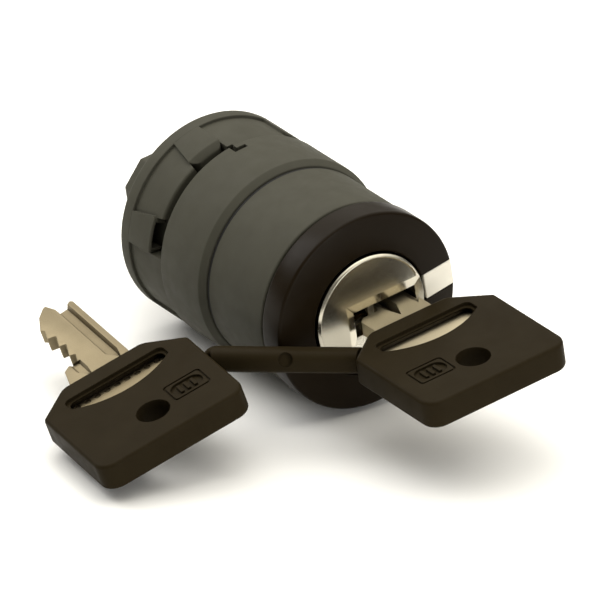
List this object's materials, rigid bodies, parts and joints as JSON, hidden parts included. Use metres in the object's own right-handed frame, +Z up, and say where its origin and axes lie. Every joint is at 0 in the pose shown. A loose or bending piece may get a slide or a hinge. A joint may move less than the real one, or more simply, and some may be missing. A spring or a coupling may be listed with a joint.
{
  "type": "selector key switch",
  "caption": "Round panel-mounted selector head with a flat-key lock turned by a plastic-headed key, with a spare key joined to it by a moulded bridge, and a square drive tail behind.",
  "frame": {"origin": "on the lock's axis, at the seat step between the front collar and the rear body", "axes": "+Y along the lock's axis from the dial to the drive tail, +Z up, +X to the right as seen from the dial's side"},
  "size_m": [0.0629, 0.0803, 0.031],
  "materials": {
    "housing_grey": "fine satin moulding",
    "seal_rubber": "matt",
    "dial_black": "satin gloss",
    "marker_white": "smooth",
    "detent_white": "smooth",
    "lock_nickel": "turned nickel plate",
    "lock_brass": "machined",
    "small_steel": "bright",
    "key_nickel": "satin nickel plate",
    "key_plastic": "fine grained moulding"
  },
  "bodies": {
    "housing": {"front_collar": "housing_grey", "seat_gasket": "seal_rubber", "rear_body": "housing_grey", "dial_seal": "seal_rubber", "lock_sleeve": "lock_brass", "detent_ring": "detent_white", "back_plate": "housing_grey", "rear_bush": "lock_brass", "back_screw_1": "small_steel", "back_screw_2": "small_steel", "back_screw_3": "small_steel"},
    "ring": {"locking_ring": "housing_grey"},
    "rotor": {"dial_ring": "dial_black", "marker_insert": "marker_white", "lock_plug": "lock_nickel", "wafer_spring": "small_steel", "plug_circlip": "small_steel", "drive_coupler": "housing_grey", "coupler_screw": "small_steel", "detent_ball_1": "small_steel", "detent_ball_2": "small_steel", "detent_spring_1": "small_steel", "detent_spring_2": "small_steel"},
    "wafers": {"wafer_1": "lock_brass", "wafer_2": "lock_brass", "wafer_3": "lock_brass", "wafer_4": "lock_brass"},
    "key_1": {"key_1_blade": "key_nickel", "key_1_head": "key_plastic"},
    "tether": {"key_tether": "key_plastic"},
    "key_2": {"key_2_blade": "key_nickel", "key_2_head": "key_plastic"}
  },
  "joints": [
    {"name": "locking_ring_turn", "type": "hinge", "parent": "housing", "child": "ring", "pos_m": [0, 0.018, 0], "axis": [0, 1, 0], "range_deg": [0, 25]},
    {"name": "key_turn", "type": "hinge", "parent": "housing", "child": "rotor", "pos_m": [0, 0, 0], "axis": [0, 1, 0], "range_deg": [-45, 45]},
    {"name": "key_withdraw", "type": "slide", "parent": "rotor", "child": "key_1", "axis": [0, -1, 0], "range_m": [0, 0.026]},
    {"name": "wafer_rise", "type": "slide", "parent": "rotor", "child": "wafers", "axis": [0.9871, 0, 0.1599], "range_m": [0, 0.0007]},
    {"name": "bridge_bend_1", "type": "hinge", "parent": "key_1", "child": "tether", "pos_m": [-0.00658, -0.02831, -0.00228], "axis": [0.7592, 0.6391, 0.123], "range_deg": [-14, 14], "stiffness_Nm_per_rad": 0.15},
    {"name": "bridge_bend_2", "type": "hinge", "parent": "tether", "child": "key_2", "pos_m": [-0.02338, -0.01402, -0.00395], "axis": [0.1179, 0.993, 0], "range_deg": [-14, 14], "stiffness_Nm_per_rad": 0.15}
  ],
  "couplings": [
    {"joint": "wafer_rise", "follows": "key_withdraw", "ratio": 0.0269}
  ]
}
